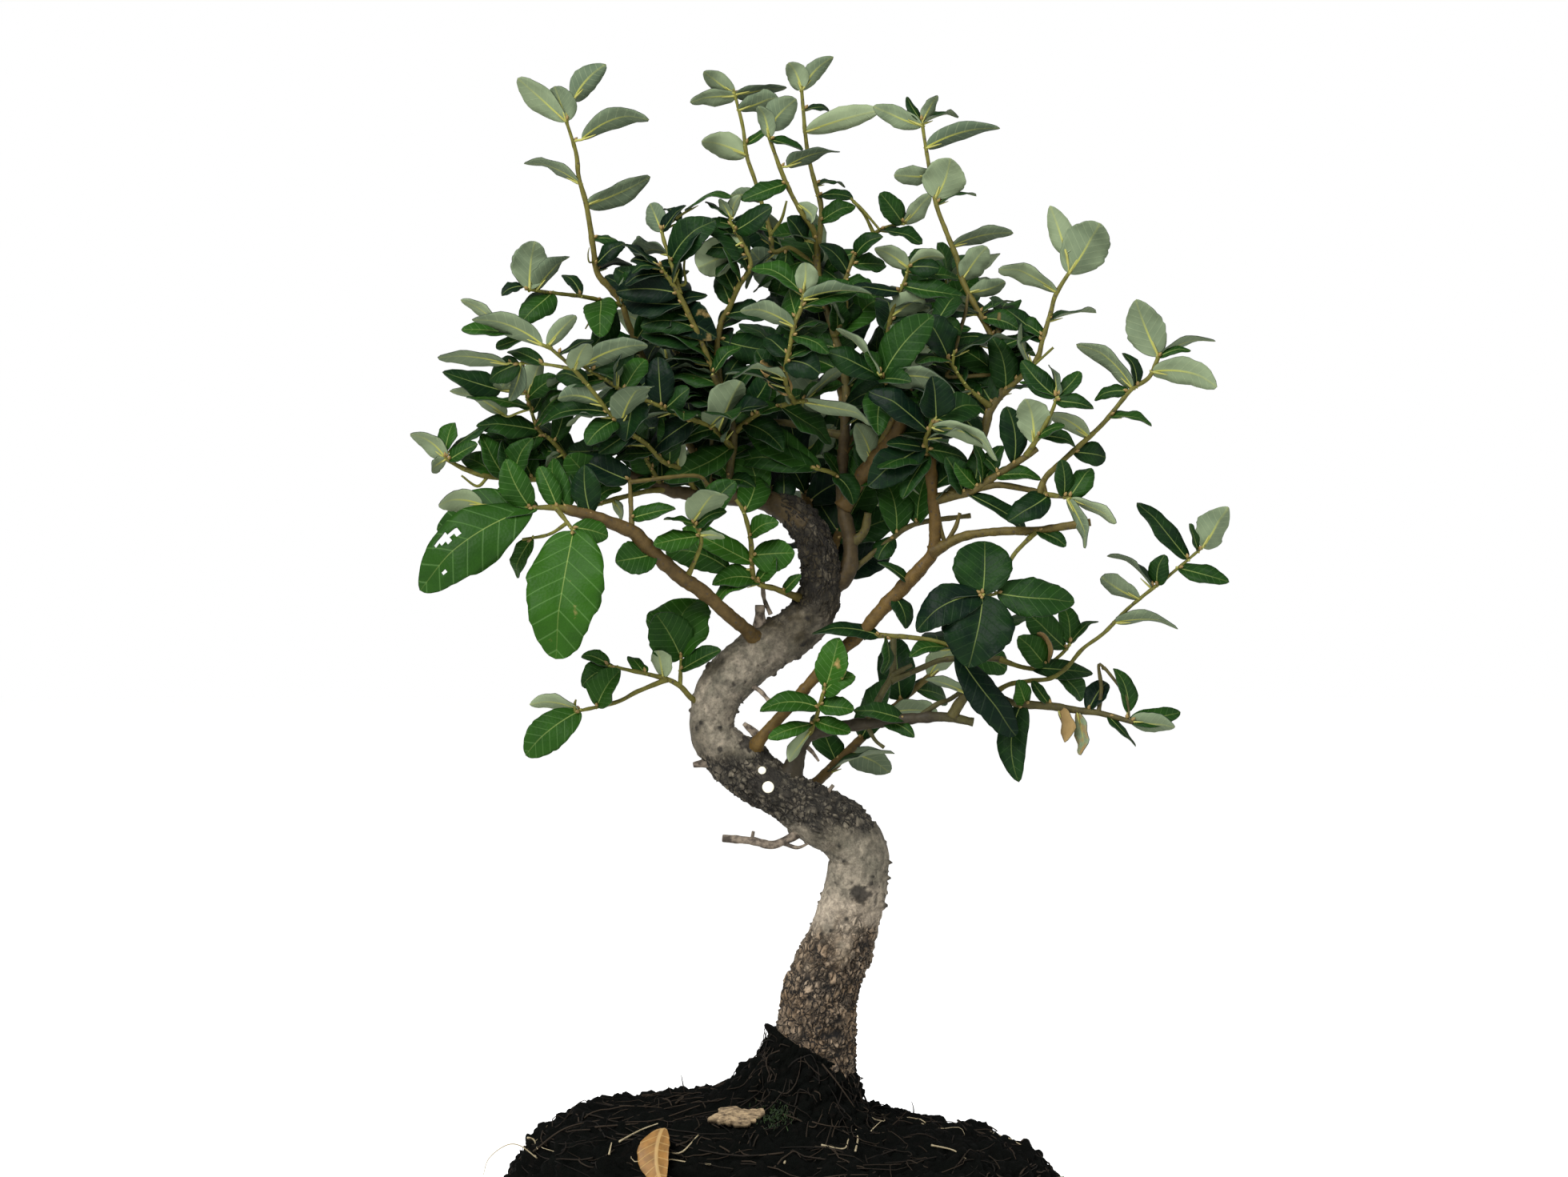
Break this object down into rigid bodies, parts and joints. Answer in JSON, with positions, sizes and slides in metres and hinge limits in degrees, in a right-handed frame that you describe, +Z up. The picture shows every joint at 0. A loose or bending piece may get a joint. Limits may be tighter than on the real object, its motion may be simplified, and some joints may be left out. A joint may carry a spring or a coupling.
{
  "type": "cork oak bonsai",
  "caption": "Small evergreen oak trained as a bonsai with an S-shaped corky trunk, open leafy crown and mounded dark soil, planted in a plain oval stoneware pot on feet",
  "frame": {"origin": "middle of the outside box in plan, on the surface that the pot's feet stand on", "axes": "+Z up, +X to the right as seen from the front, -Y towards the front"},
  "size_m": [0.2998, 0.1826, 0.4896],
  "materials": {
    "stoneware": "matte",
    "plastic_mesh": "matte",
    "peat": "matte",
    "trunk_bark": "matte",
    "branch_bark": "matte",
    "leaf": "satin",
    "dry_bark": "matte",
    "dry_leaf": "matte"
  },
  "bodies": {
    "root": {"pot": "stoneware", "drain_mesh_left": "plastic_mesh", "drain_mesh_right": "plastic_mesh", "soil": "peat", "trunk": "trunk_bark", "bark_chip": "dry_bark", "fallen_leaf": "dry_leaf", "branch_cut": "branch_bark", "branch_front_right": "branch_bark", "branch_left": "branch_bark", "branch_left_upright": "branch_bark", "branch_low_right": "branch_bark", "branch_low_right_far": "branch_bark", "branch_lower_left": "branch_bark", "branch_orange": "branch_bark", "branch_right_fork": "branch_bark", "branch_right_up": "branch_bark", "branch_right_upright": "branch_bark", "shoot_centre_cup": "leaf", "shoot_crown": "leaf", "shoot_crown_right": "leaf", "shoot_far_left": "leaf", "shoot_far_right": "leaf", "shoot_front_yellow": "leaf", "shoot_grey_stick": "leaf", "shoot_inner_left": "leaf", "shoot_inner_low": "leaf", "shoot_inner_top_left": "leaf", "shoot_left_fan": "leaf", "shoot_left_yellow": "leaf", "shoot_left_yellow_inner": "leaf", "shoot_low_fork": "leaf", "shoot_low_left_tip": "leaf", "shoot_low_right_cluster": "leaf", "shoot_low_right_end": "leaf", "shoot_mid_centre": "leaf", "shoot_mid_left": "leaf", "shoot_orange_top": "leaf", "shoot_right_cluster": "leaf", "shoot_right_lean": "leaf", "shoot_right_lower": "leaf", "shoot_right_mid": "leaf", "shoot_right_tall": "leaf", "shoot_star": "leaf", "shoot_star_low": "leaf", "shoot_top_left": "leaf", "shoot_top_middle": "leaf", "shoot_top_middle_back": "leaf", "shoot_trunk_front": "leaf", "shoot_trunk_left": "leaf", "shoot_tuft": "leaf", "spray_back_centre": "leaf", "spray_back_left": "leaf", "spray_back_low_right": "leaf", "spray_back_middle": "leaf", "spray_back_right": "leaf", "spray_back_top": "leaf", "spray_back_upper_left": "leaf", "spray_back_upper_right": "leaf"}
  },
  "joints": []
}
